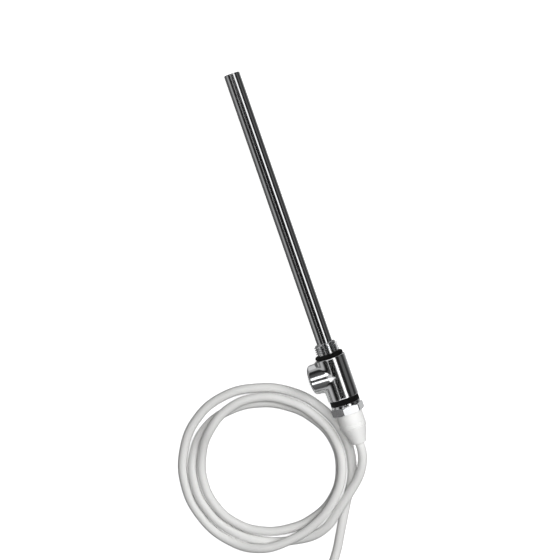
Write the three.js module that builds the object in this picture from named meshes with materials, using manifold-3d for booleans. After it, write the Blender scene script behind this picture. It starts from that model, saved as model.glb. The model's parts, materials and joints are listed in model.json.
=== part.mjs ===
// Immersion heating element for a towel radiator, with its 1/2 inch tee, mains lead and plug.
// It lies on a table, z = 0. Units are millimetres, +Z is up and +Y runs towards the rod's tip.
// Inside the heater group, +Y is the rod's axis, y = 0 is the branch's axis and -X is the branch.
import * as THREE from "three";
import { mergeVertices } from "three/addons/utils/BufferGeometryUtils.js";
import Module from "manifold-3d";

// Fits and facets
const GAP = 0.1;
const CORD_GAP = 0.3;
const ROUND = 32;
const FINE = 12;

// G1/2 pipe thread
const THREAD_R = 10.478;
const THREAD_ROOT_R = 9.316;
const THREAD_PITCH = 1.814;

// Heating rod
const ROD_R = 7;
const TUBE_WALL = 0.7;
const TIP_Y = 273;
const TIP_ROUND = 1;
const TUBE_FOOT_Y = -38;

// Tee
const BARREL_R = 13.8;
const BARREL_ROUND = 1.2;
const BARREL_FOOT_Y = -22.2;
const SHOULDER_Y = 15.2;
const NIPPLE_TOP_Y = 27.9;
const NIPPLE_BORE_R = 8.25;
const NECK_R = 9.2;
const NECK_HEIGHT = 3.5;
const TEE_BORE_R = 8.8;
const SOCKET_R = 10.8;
const SOCKET_TOP_Y = -12.5;
const BRANCH_R = 13.25;
const BRANCH_END = 22;
const BRANCH_ROUND = 2.4;
const BRANCH_SOCKET_R = 9.4;
const BRANCH_SOCKET_DEPTH = 12.5;
const BRANCH_WAY_R = 7.6;

// Seals
const O_RING_SECTION_R = 1.6;
const GASKET_R = 13;
const GASKET_HEIGHT = 4.7;
const GASKET_CHAMFER = 0.4;

// Union plug
const HEX_ACROSS_FLATS = 26;
const HEX_TURN = THREE.MathUtils.degToRad(-6.6);
const HEX_TOP_Y = BARREL_FOOT_Y - GASKET_HEIGHT - 2 * GAP;
const HEX_FOOT_Y = -36.3;
const HEX_CHAMFER = 1.2;
const HEX_CORNER_R = HEX_ACROSS_FLATS / Math.sqrt(3);
const COLLAR_R = 13.2;
const COLLAR_HEIGHT = 2.6;
const COLLAR_CHAMFER = 0.4;
const NOSE_TOP_Y = -14;
const SPIGOT_R = 10.2;
const SPIGOT_FOOT_Y = -44;

// White head
const HEAD_R = 11.5;
const COLLAR_FOOT_Y = -49.4;
const BOOT_TOP_R = 11.2;
const BOOT_FOOT_Y = -64.4;
const BOOT_FOOT_R = 6.6;
const BOOT_SPIGOT_TOP_Y = -45;
const BOOT_WALL = 0.9;
const BOOT_THROAT_Y = -58.5;
const GRIP_R = 5.8;
const GRIP_FOOT_Y = -57;

// Mains lead
const CORD_R = 4.1;
const TAIL_Z = CORD_R + 0.25;
const JACKET_TOP_Y = -54.6;
const CORE_R = 1.3;
const CORE_TOP_Y = -24.3;
const COIL_CENTRE = [-88.5, -64.5];
const COIL_INNER_R = 53;
const COIL_OUTER_R = 80.6;
const COIL_HEIGHT = 16.6;

// Inner parts of the rod
const PIN_OFFSET = 2.1;
const PIN_R = 1;
const PIN_HOLE_R = 1.15;
const PIN_TOP_Y = 45;
const FORMER_R = 3.6;
const WIRE_R = 0.4;
const WIRE_COIL_R = 4.38;
const WIRE_TURNS = 16;
const WIRE_END_MARGIN = 6;
const HOT_START_Y = 30;
const HOT_END_Y = 264;
const FILL_BORE_R = 5;
const BEAD_FOOT_Y = 20;
const FUSE_TOP_Y = 6;
const FUSE_R = 2;
const FUSE_LEAD_R = 0.6;
const CRIMP_TOP_Y = -12;
const CRIMP_R = 1.7;
const END_SEAL_TOP_Y = -33;
const END_SEAL_FOOT_Y = -37.5;
const EARTH_TAB_LENGTH = 5.5;
const EARTH_TAB_Z = 7.9;
const EARTH_CORE_R = 0.9;

// Plug, an earthed two-pin type with round pins
const PLUG_START = [-105.5, -184, 18.6];
const PLUG_BOOT_LENGTH = 24;
const PLUG_BODY_LENGTH = 34;
const PLUG_BODY_R = 18.5;
const PLUG_PIN_R = 2.4;
const PLUG_PIN_LENGTH = 19;
const PLUG_PIN_SPACING = 19;
const PLUG_PIN_SEAT = 12;
const EARTH_STRIP_X = 15.6;
const EARTH_RECESS = [4, 17, 9];
const EARTH_STRIP = [0.8, 14, 6];

const wasm = await Module();
wasm.setup();

const finish = (color, roughness, metalness) =>
  new THREE.MeshStandardMaterial({ color, roughness, metalness });
const polishedSteel = finish(0xc4c6c8, 0.18, 1);
const chrome = finish(0xd4d6d8, 0.08, 1);
const blackRubber = finish(0x101010, 0.6, 0);
const whitePlastic = finish(0xf2f2f0, 0.4, 0);
const cordSheath = finish(0xe2e2e0, 0.55, 0);
const ceramic = finish(0xe8e2d4, 0.8, 0);
const resistanceWire = finish(0x7c7468, 0.4, 1);
const brass = finish(0xc8a860, 0.3, 1);
const tinned = finish(0xb8babc, 0.3, 1);
const brownCore = finish(0x6a3c1c, 0.5, 0);
const blueCore = finish(0x2858a8, 0.5, 0);
const earthCore = finish(0x60a030, 0.5, 0);
const siliconeRed = finish(0x9c4030, 0.6, 0);

// A three.js geometry as a solid that can be joined and cut.
function solidOf(geometry) {
  const bare = geometry.clone();
  bare.deleteAttribute("normal");
  bare.deleteAttribute("uv");
  const merged = mergeVertices(bare, 1e-4);
  return new wasm.Manifold(
    new wasm.Mesh({
      numProp: 3,
      vertProperties: merged.attributes.position.array,
      triVerts: new Uint32Array(merged.index.array),
    }),
  );
}

// A solid as a three.js geometry.
function geometryOf(solid) {
  const mesh = solid.getMesh();
  const geometry = new THREE.BufferGeometry();
  geometry.setAttribute("position", new THREE.BufferAttribute(mesh.vertProperties, 3));
  geometry.setIndex(new THREE.BufferAttribute(mesh.triVerts, 1));
  return geometry;
}

// Joins every geometry in joined, then cuts away every geometry in cut.
function carve(joined, cut) {
  const [first, ...others] = joined.map(solidOf);
  const whole = others.reduce((sum, next) => sum.add(next), first);
  return geometryOf(cut.map(solidOf).reduce((left, next) => left.subtract(next), whole));
}

function intersection(a, b) {
  return geometryOf(solidOf(a).intersect(solidOf(b)));
}

// Revolves [radius, height] points, listed upwards along the outside, about the Y axis.
function revolved(points, segments = ROUND) {
  return new THREE.LatheGeometry(points.map(([r, y]) => new THREE.Vector2(r, y)), segments);
}

// The same for an outline that closes on itself, such as a ring's section.
function revolvedRing(points, segments = ROUND) {
  return revolved([...points, points[0]], segments);
}

// A plain tube between two heights.
function sleeve(outer, inner, bottom, top, segments = ROUND) {
  return revolvedRing([[inner, bottom], [outer, bottom], [outer, top], [inner, top]], segments);
}

// A cylinder along Y, moved sideways by x and z.
function bar(radius, bottom, top, x = 0, z = 0, segments = FINE) {
  return new THREE.CylinderGeometry(radius, radius, top - bottom, segments)
    .translate(x, (top + bottom) / 2, z);
}

// Points of a quarter circle about [r, y], from one angle to another in degrees.
function arc(r, y, radius, from, to, steps = 3) {
  return Array.from({ length: steps + 1 }, (_, i) => {
    const angle = THREE.MathUtils.degToRad(from + ((to - from) * i) / steps);
    return [r + radius * Math.cos(angle), y + radius * Math.sin(angle)];
  });
}

// The outside of a pipe thread as plain ridges, upwards from one height to another.
function threadRidges(bottom, top) {
  const ridges = Math.floor((top - bottom) / THREAD_PITCH);
  const points = [];
  for (let i = 0; i < ridges; i += 1) {
    const y = bottom + i * THREAD_PITCH;
    points.push([THREAD_ROOT_R, y + 0.05]);
    points.push([THREAD_R, y + THREAD_PITCH / 2]);
  }
  return points;
}

// A round bar swept along a smooth curve through the given points.
function sweptBar(points, radius, sides, steps) {
  const section = new THREE.Shape(
    Array.from({ length: sides }, (_, i) => {
      const angle = (2 * Math.PI * i) / sides;
      return new THREE.Vector2(radius * Math.cos(angle), radius * Math.sin(angle));
    }),
  );
  const route = new THREE.CatmullRomCurve3(points, false, "centripetal");
  return new THREE.ExtrudeGeometry(section, { steps, extrudePath: route, bevelEnabled: false });
}

const heater = new THREE.Group();
const cordAndPlug = new THREE.Group();

function add(group, name, geometry, material) {
  const mesh = new THREE.Mesh(geometry, material);
  mesh.name = name;
  group.add(mesh);
}

function addRod() {
  const bore = ROD_R - TUBE_WALL;
  const tubeTop = TIP_Y - 2.5;
  add(heater, "sheath_tube", sleeve(ROD_R, bore, TUBE_FOOT_Y, tubeTop), polishedSteel);
  const spigot = bore - GAP;
  const tip = revolved([
    [0, tubeTop - 4],
    [spigot, tubeTop - 4],
    [spigot, tubeTop + GAP],
    [ROD_R, tubeTop + GAP],
    ...arc(ROD_R - TIP_ROUND, TIP_Y - TIP_ROUND, TIP_ROUND, 0, 90),
    [0, TIP_Y],
  ]);
  add(heater, "tip_plug", tip, polishedSteel);
}

function addHeatingCore() {
  const fit = ROD_R - TUBE_WALL - GAP;
  const bores = [-1, 1].map((side) =>
    bar(PIN_HOLE_R, HOT_START_Y - 1, HOT_END_Y + 1, side * PIN_OFFSET, 0, 10),
  );
  const former = carve([bar(FORMER_R, HOT_START_Y, HOT_END_Y, 0, 0, 24)], bores);
  add(heater, "winding_former", former, ceramic);
  add(heater, "magnesia_fill", sleeve(fit, FILL_BORE_R, HOT_START_Y, HOT_END_Y, 32), ceramic);

  const stepsPerTurn = 8;
  const steps = WIRE_TURNS * stepsPerTurn;
  const wireFoot = HOT_START_Y + WIRE_END_MARGIN;
  const wireTop = HOT_END_Y - WIRE_END_MARGIN;
  const helix = Array.from({ length: steps + 1 }, (_, i) => {
    const angle = (2 * Math.PI * i) / stepsPerTurn;
    const y = THREE.MathUtils.mapLinear(i, 0, steps, wireFoot, wireTop);
    return new THREE.Vector3(WIRE_COIL_R * Math.cos(angle), y, WIRE_COIL_R * Math.sin(angle));
  });
  add(heater, "heating_wire", sweptBar(helix, WIRE_R, 4, steps), resistanceWire);

  const beadHoles = [-1, 1].map((side) =>
    bar(PIN_HOLE_R, BEAD_FOOT_Y - 1, HOT_START_Y, side * PIN_OFFSET, 0, 10),
  );
  const bead = carve([bar(fit, BEAD_FOOT_Y, HOT_START_Y - 3 * GAP, 0, 0, 32)], beadHoles);
  add(heater, "cold_end_bead", bead, ceramic);
}

function addTerminals() {
  const crimpFoot = CORE_TOP_Y + GAP;
  const fuseFoot = CRIMP_TOP_Y + GAP;
  const fuse = revolved([
    [0, fuseFoot],
    [FUSE_LEAD_R, fuseFoot],
    [FUSE_LEAD_R, -8],
    [FUSE_R - 0.6, -7],
    [FUSE_R, -6],
    [FUSE_R, 3],
    [FUSE_R - 0.6, 4],
    [FUSE_LEAD_R, 4.4],
    [FUSE_LEAD_R, FUSE_TOP_Y - GAP],
    [0, FUSE_TOP_Y - GAP],
  ], FINE).translate(-PIN_OFFSET, 0, 0);
  add(heater, "live_pin", bar(PIN_R, FUSE_TOP_Y, PIN_TOP_Y, -PIN_OFFSET, 0, 10), tinned);
  add(heater, "neutral_pin", bar(PIN_R, fuseFoot, PIN_TOP_Y, PIN_OFFSET, 0, 10), tinned);
  add(heater, "thermal_fuse", fuse, whitePlastic);
  add(heater, "live_crimp", bar(CRIMP_R, crimpFoot, CRIMP_TOP_Y, -PIN_OFFSET), tinned);
  add(heater, "neutral_crimp", bar(CRIMP_R, crimpFoot, CRIMP_TOP_Y, PIN_OFFSET), tinned);
  const coreFoot = JACKET_TOP_Y + CORD_GAP;
  add(heater, "live_core", bar(CORE_R, coreFoot, CORE_TOP_Y, -PIN_OFFSET), brownCore);
  add(heater, "neutral_core", bar(CORE_R, coreFoot, CORE_TOP_Y, PIN_OFFSET), blueCore);
}

function addEndSeal() {
  const fit = ROD_R - TUBE_WALL - GAP;
  const holes = [-1, 1].map((side) =>
    bar(CORE_R + GAP, END_SEAL_FOOT_Y - 1, END_SEAL_TOP_Y + 1, side * PIN_OFFSET),
  );
  const seal = carve([bar(fit, END_SEAL_FOOT_Y, END_SEAL_TOP_Y, 0, 0, 32)], holes);
  add(heater, "end_seal", seal, siliconeRed);
}

function addEarthBond() {
  const tabFoot = SPIGOT_FOOT_Y - EARTH_TAB_LENGTH;
  const tab = new THREE.BoxGeometry(3.2, EARTH_TAB_LENGTH - GAP, 0.8)
    .translate(0, tabFoot + (EARTH_TAB_LENGTH - GAP) / 2, EARTH_TAB_Z);
  add(heater, "earth_tab", tab, brass);
  const outer = new THREE.BoxGeometry(4.2, 4.6, 1.7).translate(0, tabFoot + 2, EARTH_TAB_Z);
  const slot = new THREE.BoxGeometry(3.4, 6, 1).translate(0, tabFoot + 3.1 - GAP, EARTH_TAB_Z);
  add(heater, "earth_receptacle", carve([outer], [slot]), tinned);
  const route = [
    new THREE.Vector3(0, JACKET_TOP_Y + CORD_GAP, 2.8),
    new THREE.Vector3(0, JACKET_TOP_Y + 1.4, 2.9),
    new THREE.Vector3(0, tabFoot - 2.4, 6.6),
    new THREE.Vector3(0, tabFoot - 0.7, 7.6),
  ];
  add(heater, "earth_core", sweptBar(route, EARTH_CORE_R, 8, 6), earthCore);
}

function addTee() {
  const nippleFoot = SHOULDER_Y + NECK_HEIGHT;
  const barrel = revolved([
    [0, BARREL_FOOT_Y],
    [BARREL_R - 0.5, BARREL_FOOT_Y],
    [BARREL_R, BARREL_FOOT_Y + 0.5],
    ...arc(BARREL_R - BARREL_ROUND, SHOULDER_Y - BARREL_ROUND, BARREL_ROUND, 0, 90),
    [NECK_R, SHOULDER_Y],
    [NECK_R, nippleFoot],
    ...threadRidges(nippleFoot, NIPPLE_TOP_Y - 0.1),
    [THREAD_ROOT_R, NIPPLE_TOP_Y],
    [0, NIPPLE_TOP_Y],
  ]);
  const branch = revolved([
    [0, 0],
    [BRANCH_R, 0],
    ...arc(BRANCH_R - BRANCH_ROUND, BRANCH_END - BRANCH_ROUND, BRANCH_ROUND, 0, 90),
    [0, BRANCH_END],
  ]).rotateZ(Math.PI / 2);
  const socketFloor = BRANCH_END - BRANCH_SOCKET_DEPTH;
  const branchBore = revolved([
    [0, 0],
    [BRANCH_WAY_R, 0],
    [BRANCH_WAY_R, socketFloor],
    [BRANCH_SOCKET_R, socketFloor + 1],
    [BRANCH_SOCKET_R, BRANCH_END + 1],
    [0, BRANCH_END + 1],
  ]).rotateZ(Math.PI / 2);
  const mainBore = revolved([
    [0, BARREL_FOOT_Y - 1],
    [SOCKET_R, BARREL_FOOT_Y - 1],
    [SOCKET_R, SOCKET_TOP_Y],
    [TEE_BORE_R, SOCKET_TOP_Y + 1],
    [TEE_BORE_R, SHOULDER_Y - 2],
    [NIPPLE_BORE_R, SHOULDER_Y - 1],
    [NIPPLE_BORE_R, NIPPLE_TOP_Y + 1],
    [0, NIPPLE_TOP_Y + 1],
  ]);
  add(heater, "tee_body", carve([barrel, branch], [mainBore, branchBore]), chrome);
}

function addSeals() {
  const ringRadius = NECK_R + GAP + O_RING_SECTION_R;
  const ringY = SHOULDER_Y + GAP + O_RING_SECTION_R;
  const section = arc(ringRadius, ringY, O_RING_SECTION_R, 0, 360, 10).slice(0, -1);
  add(heater, "nipple_o_ring", revolvedRing(section), blackRubber);
  const top = BARREL_FOOT_Y - GAP;
  const foot = top - GASKET_HEIGHT;
  const gasket = revolvedRing([
    [SOCKET_R, foot],
    [GASKET_R - GASKET_CHAMFER, foot],
    [GASKET_R, foot + GASKET_CHAMFER],
    [GASKET_R, top - GASKET_CHAMFER],
    [GASKET_R - GASKET_CHAMFER, top],
    [SOCKET_R, top],
  ]);
  add(heater, "lower_gasket", gasket, blackRubber);
}

function addUnionPlug() {
  const hexTop = HEX_TOP_Y - COLLAR_HEIGHT;
  const prism = new THREE.CylinderGeometry(HEX_CORNER_R, HEX_CORNER_R, hexTop - HEX_FOOT_Y, 6)
    .rotateY(HEX_TURN)
    .translate(0, (hexTop + HEX_FOOT_Y) / 2, 0);
  const chamferRadius = HEX_ACROSS_FLATS / 2;
  const chamferCone = revolved([
    [0, HEX_FOOT_Y],
    [chamferRadius + 0.6, HEX_FOOT_Y],
    [chamferRadius + 0.6 + 2 * HEX_CHAMFER, HEX_FOOT_Y + HEX_CHAMFER],
    [chamferRadius + 0.6 + 2 * HEX_CHAMFER, hexTop - HEX_CHAMFER],
    [chamferRadius + 0.2, hexTop],
    [0, hexTop],
  ]);
  const hexagon = intersection(prism, chamferCone);
  const collar = revolved([
    [0, hexTop - 0.5],
    [COLLAR_R, hexTop - 0.5],
    [COLLAR_R, HEX_TOP_Y - COLLAR_CHAMFER],
    [COLLAR_R - COLLAR_CHAMFER, HEX_TOP_Y],
    [0, HEX_TOP_Y],
  ]);
  const nose = revolved([
    [0, HEX_TOP_Y - 1],
    [THREAD_ROOT_R, HEX_TOP_Y - 1],
    ...threadRidges(HEX_TOP_Y, NOSE_TOP_Y),
    [THREAD_ROOT_R, NOSE_TOP_Y],
    [0, NOSE_TOP_Y],
  ]);
  const spigot = bar(SPIGOT_R, SPIGOT_FOOT_Y, HEX_FOOT_Y + 1, 0, 0, ROUND);
  const bore = bar(ROD_R + GAP, SPIGOT_FOOT_Y - 1, NOSE_TOP_Y + 1, 0, 0, ROUND);
  add(heater, "union_plug", carve([hexagon, collar, nose, spigot], [bore]), chrome);
}

function addWhiteHead() {
  const collarTop = HEX_FOOT_Y - GAP;
  const fit = SPIGOT_R + GAP;
  const collar = revolvedRing([
    [fit, COLLAR_FOOT_Y],
    [HEAD_R, COLLAR_FOOT_Y],
    [HEAD_R, collarTop - 0.5],
    [HEAD_R - 0.5, collarTop],
    [fit, collarTop],
  ]);
  add(heater, "cap_collar", collar, whitePlastic);

  const bootTop = COLLAR_FOOT_Y - GAP;
  const bore = CORD_R + 0.2;
  const boot = revolvedRing([
    [bore, BOOT_FOOT_Y],
    [BOOT_FOOT_R - 0.6, BOOT_FOOT_Y],
    [BOOT_FOOT_R, BOOT_FOOT_Y + 0.6],
    [BOOT_TOP_R, bootTop],
    [SPIGOT_R, bootTop],
    [SPIGOT_R, BOOT_SPIGOT_TOP_Y],
    [SPIGOT_R - BOOT_WALL, BOOT_SPIGOT_TOP_Y],
    [SPIGOT_R - BOOT_WALL, bootTop - 2],
    [7.4, BOOT_THROAT_Y + 2],
    [bore, BOOT_THROAT_Y],
  ]);
  add(heater, "cord_boot", boot, whitePlastic);
  add(heater, "cord_grip", sleeve(GRIP_R, CORD_R + GAP, GRIP_FOOT_Y, JACKET_TOP_Y, 24), tinned);
}

// Turns the heater so that it lies on the rod's tip, the tee's shoulder and the branch's rim.
function layDown() {
  const shoulderContact = SHOULDER_Y - BARREL_ROUND;
  const tipContact = TIP_Y - TIP_ROUND;
  const tilt = Math.asin((BARREL_R - ROD_R) / (tipContact - shoulderContact));
  const axisHeight = BARREL_R + shoulderContact * Math.sin(tilt);
  const rimReach = BRANCH_END - BRANCH_ROUND;
  const roll = Math.asin(axisHeight / Math.hypot(rimReach, BRANCH_R)) - Math.atan2(BRANCH_R, rimReach);
  heater.rotation.set(-tilt, -roll, 0);
  heater.updateMatrixWorld(true);
  heater.position.z = -new THREE.Box3().setFromObject(heater, true).min.z;
  heater.updateMatrixWorld(true);
}

const onAxis = (y) => new THREE.Vector3(0, y, 0).applyMatrix4(heater.matrixWorld);
const at = (x, y, z) => new THREE.Vector3(x, y, z);

// The coil's outer shape, grown on every side by a margin.
function coilRing(margin) {
  return revolvedRing([
    [COIL_INNER_R - margin, -margin],
    [COIL_OUTER_R + margin, -margin],
    [COIL_OUTER_R + margin, COIL_HEIGHT + margin],
    [COIL_INNER_R - margin, COIL_HEIGHT + margin],
  ], 48).rotateX(Math.PI / 2).translate(...COIL_CENTRE, 0);
}

function addLead() {
  const route = [
    onAxis(JACKET_TOP_Y),
    onAxis(BOOT_FOOT_Y),
    onAxis(BOOT_FOOT_Y - 4),
    at(-1.2, -76, 15.6),
    at(-4.4, -84, 14.8),
    at(-9.2, -91.4, 14),
    at(-15, -97.8, 13.4),
    at(-22, -103.9, 13),
  ];
  const lead = sweptBar(route, CORD_R, 10, 14);
  add(cordAndPlug, "cord_lead", carve([lead], [coilRing(CORD_GAP)]), cordSheath);
}

// The hexagon and the white head lean over the coil, so the ring is cut back under them.
function addCoil() {
  const head = bar(HEX_CORNER_R + 2 * CORD_GAP, BOOT_FOOT_Y - 1, HEX_TOP_Y + 4, 0, 0, 24)
    .applyMatrix4(heater.matrixWorld);
  add(cordAndPlug, "cord_coil", carve([coilRing(0)], [head]), cordSheath);
}

function addTail() {
  const [plugX, plugY, plugZ] = PLUG_START;
  const route = [
    at(-31, -115, TAIL_Z),
    at(-38.5, -128, TAIL_Z),
    at(-46, -141, TAIL_Z),
    at(-53.5, -154, TAIL_Z),
    at(-63.1, -166.4, 6.3),
    at(-75.5, -176, 11.3),
    at(-90, -182, 16.4),
    at(-98, -183.7, 18.2),
    at(plugX + CORD_GAP, plugY, plugZ),
  ];
  const tail = sweptBar(route, CORD_R, 10, 18);
  add(cordAndPlug, "cord_tail", carve([tail], [coilRing(CORD_GAP)]), cordSheath);
}

// In the plug's own group, +Y runs from the cord to the pins and Z is the line of the two pins.
function addPlug() {
  const plug = new THREE.Group();
  const bodyFoot = PLUG_BOOT_LENGTH;
  const face = bodyFoot + PLUG_BODY_LENGTH;
  const boot = revolved([
    [0, 0],
    [CORD_R + 1, 0],
    [CORD_R + 3, bodyFoot - GAP],
    [0, bodyFoot - GAP],
  ], 24);
  add(plug, "plug_boot", boot, whitePlastic);

  const body = revolved([
    [0, bodyFoot],
    [9, bodyFoot],
    [14, bodyFoot + 5],
    [PLUG_BODY_R - 1, bodyFoot + 14],
    [PLUG_BODY_R, bodyFoot + 17],
    [PLUG_BODY_R, face - 1],
    [PLUG_BODY_R - 1, face],
    [0, face],
  ]);
  const [recessDepth, recessLength, recessWidth] = EARTH_RECESS;
  const recesses = [-1, 1].map((side) =>
    new THREE.BoxGeometry(recessDepth, recessLength, recessWidth)
      .translate(side * (EARTH_STRIP_X + recessDepth / 2), face - recessLength / 2 + 1, 0),
  );
  const pinFoot = face - PLUG_PIN_SEAT;
  const pinHoles = [-1, 1].map((side) =>
    bar(PLUG_PIN_R + GAP, pinFoot, face + 1, 0, side * PLUG_PIN_SPACING / 2),
  );
  add(plug, "plug_body", carve([body], [...recesses, ...pinHoles]), whitePlastic);

  const pinProfile = [
    [0, pinFoot + GAP],
    [PLUG_PIN_R, pinFoot + GAP],
    [PLUG_PIN_R, face + PLUG_PIN_LENGTH - 1.5],
    [1.2, face + PLUG_PIN_LENGTH],
    [0, face + PLUG_PIN_LENGTH],
  ];
  [["plug_pin_live", -1], ["plug_pin_neutral", 1]].forEach(([name, side]) => {
    const pin = revolved(pinProfile, FINE).translate(0, 0, side * PLUG_PIN_SPACING / 2);
    add(plug, name, pin, tinned);
  });
  [["plug_earth_left", -1], ["plug_earth_right", 1]].forEach(([name, side]) => {
    const strip = new THREE.BoxGeometry(...EARTH_STRIP)
      .translate(side * (EARTH_STRIP_X + EARTH_STRIP[0] / 2 + GAP), face - recessLength / 2, 0);
    add(plug, name, strip, brass);
  });
  plug.rotation.z = Math.PI / 2;
  plug.position.set(...PLUG_START);
  cordAndPlug.add(plug);
}

const assembly = new THREE.Group();

// The frame's origin is the middle of the heater's own box, on the table.
function centre() {
  const box = new THREE.Box3().setFromObject(heater, true);
  const middle = box.getCenter(new THREE.Vector3());
  for (const group of [heater, cordAndPlug]) {
    group.position.x -= middle.x;
    group.position.y -= middle.y;
  }
}

addRod();
addHeatingCore();
addTerminals();
addEndSeal();
addEarthBond();
addTee();
addSeals();
addUnionPlug();
addWhiteHead();
layDown();
addLead();
addCoil();
addTail();
addPlug();
assembly.add(heater, cordAndPlug);
centre();

export default assembly;
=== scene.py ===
"""Heating element for a towel radiator: rod, tee, seals, white head, coiled lead and plug."""

import json  # noqa: E402
import math  # noqa: E402

import bmesh  # noqa: E402
import bpy  # noqa: E402
from mathutils import Matrix, Vector  # noqa: E402


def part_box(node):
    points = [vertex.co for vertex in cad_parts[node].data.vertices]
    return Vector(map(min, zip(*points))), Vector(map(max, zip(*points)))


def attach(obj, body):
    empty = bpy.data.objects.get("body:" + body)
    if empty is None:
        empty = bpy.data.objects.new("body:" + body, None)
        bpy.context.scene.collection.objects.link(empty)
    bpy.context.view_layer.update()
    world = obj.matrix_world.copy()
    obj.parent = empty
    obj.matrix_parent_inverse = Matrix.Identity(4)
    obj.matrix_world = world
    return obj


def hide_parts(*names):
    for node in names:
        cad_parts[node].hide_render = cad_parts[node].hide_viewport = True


bl_info = {
    "name": "Towel radiator heating element",
    "version": (1, 0, 0),
    "blender": (4, 5, 0),
    "location": "View3D > Sidebar > Heater",
    "description": "Builds the pieces of a radiator heating element round its frame",
    "category": "Add Mesh",
}

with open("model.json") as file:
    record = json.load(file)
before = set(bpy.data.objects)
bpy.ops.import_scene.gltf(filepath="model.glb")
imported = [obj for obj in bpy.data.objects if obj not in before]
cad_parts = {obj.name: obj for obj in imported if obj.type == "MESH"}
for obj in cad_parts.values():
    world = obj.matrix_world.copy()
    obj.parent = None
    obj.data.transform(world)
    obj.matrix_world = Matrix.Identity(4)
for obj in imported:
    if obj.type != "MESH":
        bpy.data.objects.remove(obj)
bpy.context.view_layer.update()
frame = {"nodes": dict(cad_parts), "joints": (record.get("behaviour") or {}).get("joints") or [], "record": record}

MM = 0.001
TAU = 2 * math.pi

# The heater lies tilted on the floor. In its own space +Y is the rod's axis, the branch
# points to -X and both axes cross at the origin.
TEE_JOINT = next(j for j in frame["joints"] if j["name"] == "tee_turn")
MOUNTS = {mount["name"]: mount for mount in frame["record"]["mounts"]}
CROSSING = Vector(TEE_JOINT["pos_m"])
ROD_WAY = Vector(TEE_JOINT["axis"]).normalized()
SIDE_WAY = -Vector(MOUNTS["valve_socket_face"]["axis"]).normalized()
SIDE_WAY = (SIDE_WAY - ROD_WAY * SIDE_WAY.dot(ROD_WAY)).normalized()
HEATER_PLACE = Matrix.Translation(CROSSING) @ Matrix(
    (SIDE_WAY, ROD_WAY, SIDE_WAY.cross(ROD_WAY))
).transposed().to_4x4()

# G1/2 pipe thread
THREAD_R = 10.478 * MM
THREAD_ROOT_R = 9.316 * MM
SOCKET_THREAD_R = 9.45 * MM
# Where a thread's ridge reaches its crest, leaves it and ends, in shares of the pitch
CREST_START, CREST_END, RIDGE_END = 0.32, 0.46, 0.78
# How far the foot of a ridge is sunk into its wall
RIDGE_SUNK = 0.25 * MM

# Tee, seals and union plug, along the rod's axis
NIPPLE_TOP = 27.9 * MM
NECK_TOP = 18.7 * MM
SHOULDER = 15.2 * MM
# The gasket is drawn taller than the real seal, up to the barrel's foot: its black band is the real seal plus
# painted shade for the gap under the barrel.
BARREL_FOOT = -22.2 * MM
GASKET_TOP = -22.3 * MM
GASKET_FOOT = -27.0 * MM
HEX_TOP = -27.1 * MM
FLANGE_FOOT = -29.7 * MM
HEX_FOOT = -36.3 * MM
HEX_TURN = math.radians(-6.6)
NOSE_TOP = -14 * MM
SPIGOT_R, SPIGOT_FOOT = 10.2 * MM, -44 * MM

# Bores of the tee, and the clearance round the rod
LOWER_BORE_R = 10.8 * MM
UPPER_BORE_R = 8.8 * MM
SOCKET_R = 9.4 * MM
SOCKET_DEPTH = 12.5 * MM
SLEEVE_BORE_R = 8.25 * MM
ROD_CLEARANCE_R = 7.1 * MM
CASTING_VOXEL = 0.36 * MM
CORNER_WIDTH = 4.5 * MM
CORNER_PASSES = 70

# Rod
ROD_WALL = 0.7 * MM
ROD_FOOT = -38 * MM
TIP_DISC = 5 * MM

# White head and lead
COLLAR_TOP = -36.4 * MM
COLLAR_FOOT = -49.4 * MM
BOOT_TOP = -49.5 * MM
BOOT_FOOT = -64.4 * MM
JACKET_TOP = -54.6 * MM

# Route of the lead, in millimetres from the point below the tee's crossing.
LEAD_BENDS = (
    (-1.2, -76, 15.6),
    (-4.4, -84, 14.8),
    (-9.2, -91.4, 14),
    (-15, -97.8, 13.4),
    (-22, -103.9, 13),
)
COIL_CENTRE = (-88.5, -64.5)
COIL_START_DEG = -42
COIL_STEP_DEG = 24
# Radius and height of each step round the coil, clockwise.
COIL_STEPS = (
    (73.6, 12.5), (73.3, 10.1), (69.2, 4.5), (67.1, 4.3), (67.3, 4.3),
    (67.8, 4.3), (67.9, 4.3), (67.1, 4.3), (65.1, 4.3), (61.4, 4.3),
    (59.7, 4.3), (60.1, 4.3), (62.5, 4.3), (65.5, 4.3), (65.5, 4.3),
    (63.8, 4.3), (60.4, 4.3), (58.1, 4.3), (58.0, 4.3), (58.8, 4.3),
    (59.1, 4.3), (59.1, 4.3), (59.1, 6.4), (60.6, 12.2), (64.0, 12.3),
    (66.0, 10.9), (66.3, 10.6), (67.2, 11.0), (68.8, 11.8), (67.8, 12.4),
    (65.1, 12.4), (64.1, 12.4), (66.2, 12.4), (72.1, 11.6), (75.9, 5.7),
    (76.4, 4.3), (76.4, 4.3), (76.2, 4.3), (76.2, 4.3), (75.1, 4.3),
    (73.3, 4.3), (73.6, 4.3), (74.6, 4.3), (76.1, 4.3), (76.2, 4.3),
)
TAIL_BENDS = (
    (-31, -115, 4.35),
    (-38.5, -128, 4.35),
    (-46, -141, 4.35),
    (-53.5, -154, 4.35),
    (-63.1, -166.4, 6.3),
    (-75.5, -176, 11.3),
    (-90, -182, 16.4),
    (-98, -183.7, 18.2),
    (-105.2, -184, 18.6),
)

# Plug: +Y runs from the lead to the pins, and the pins stand one above the other.
PLUG_BOOT_LENGTH = 24 * MM
PLUG_FACE = 58 * MM
PLUG_R = 18.5 * MM
PIN_GAP = 19 * MM
PIN_WELL = 12 * MM
EARTH_X = 15.6 * MM
EARTH_STRIP = (0.8 * MM, 14 * MM, 6 * MM)
GRIP_GROOVE = (3 * MM, 1.3 * MM, 20 * MM)

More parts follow.
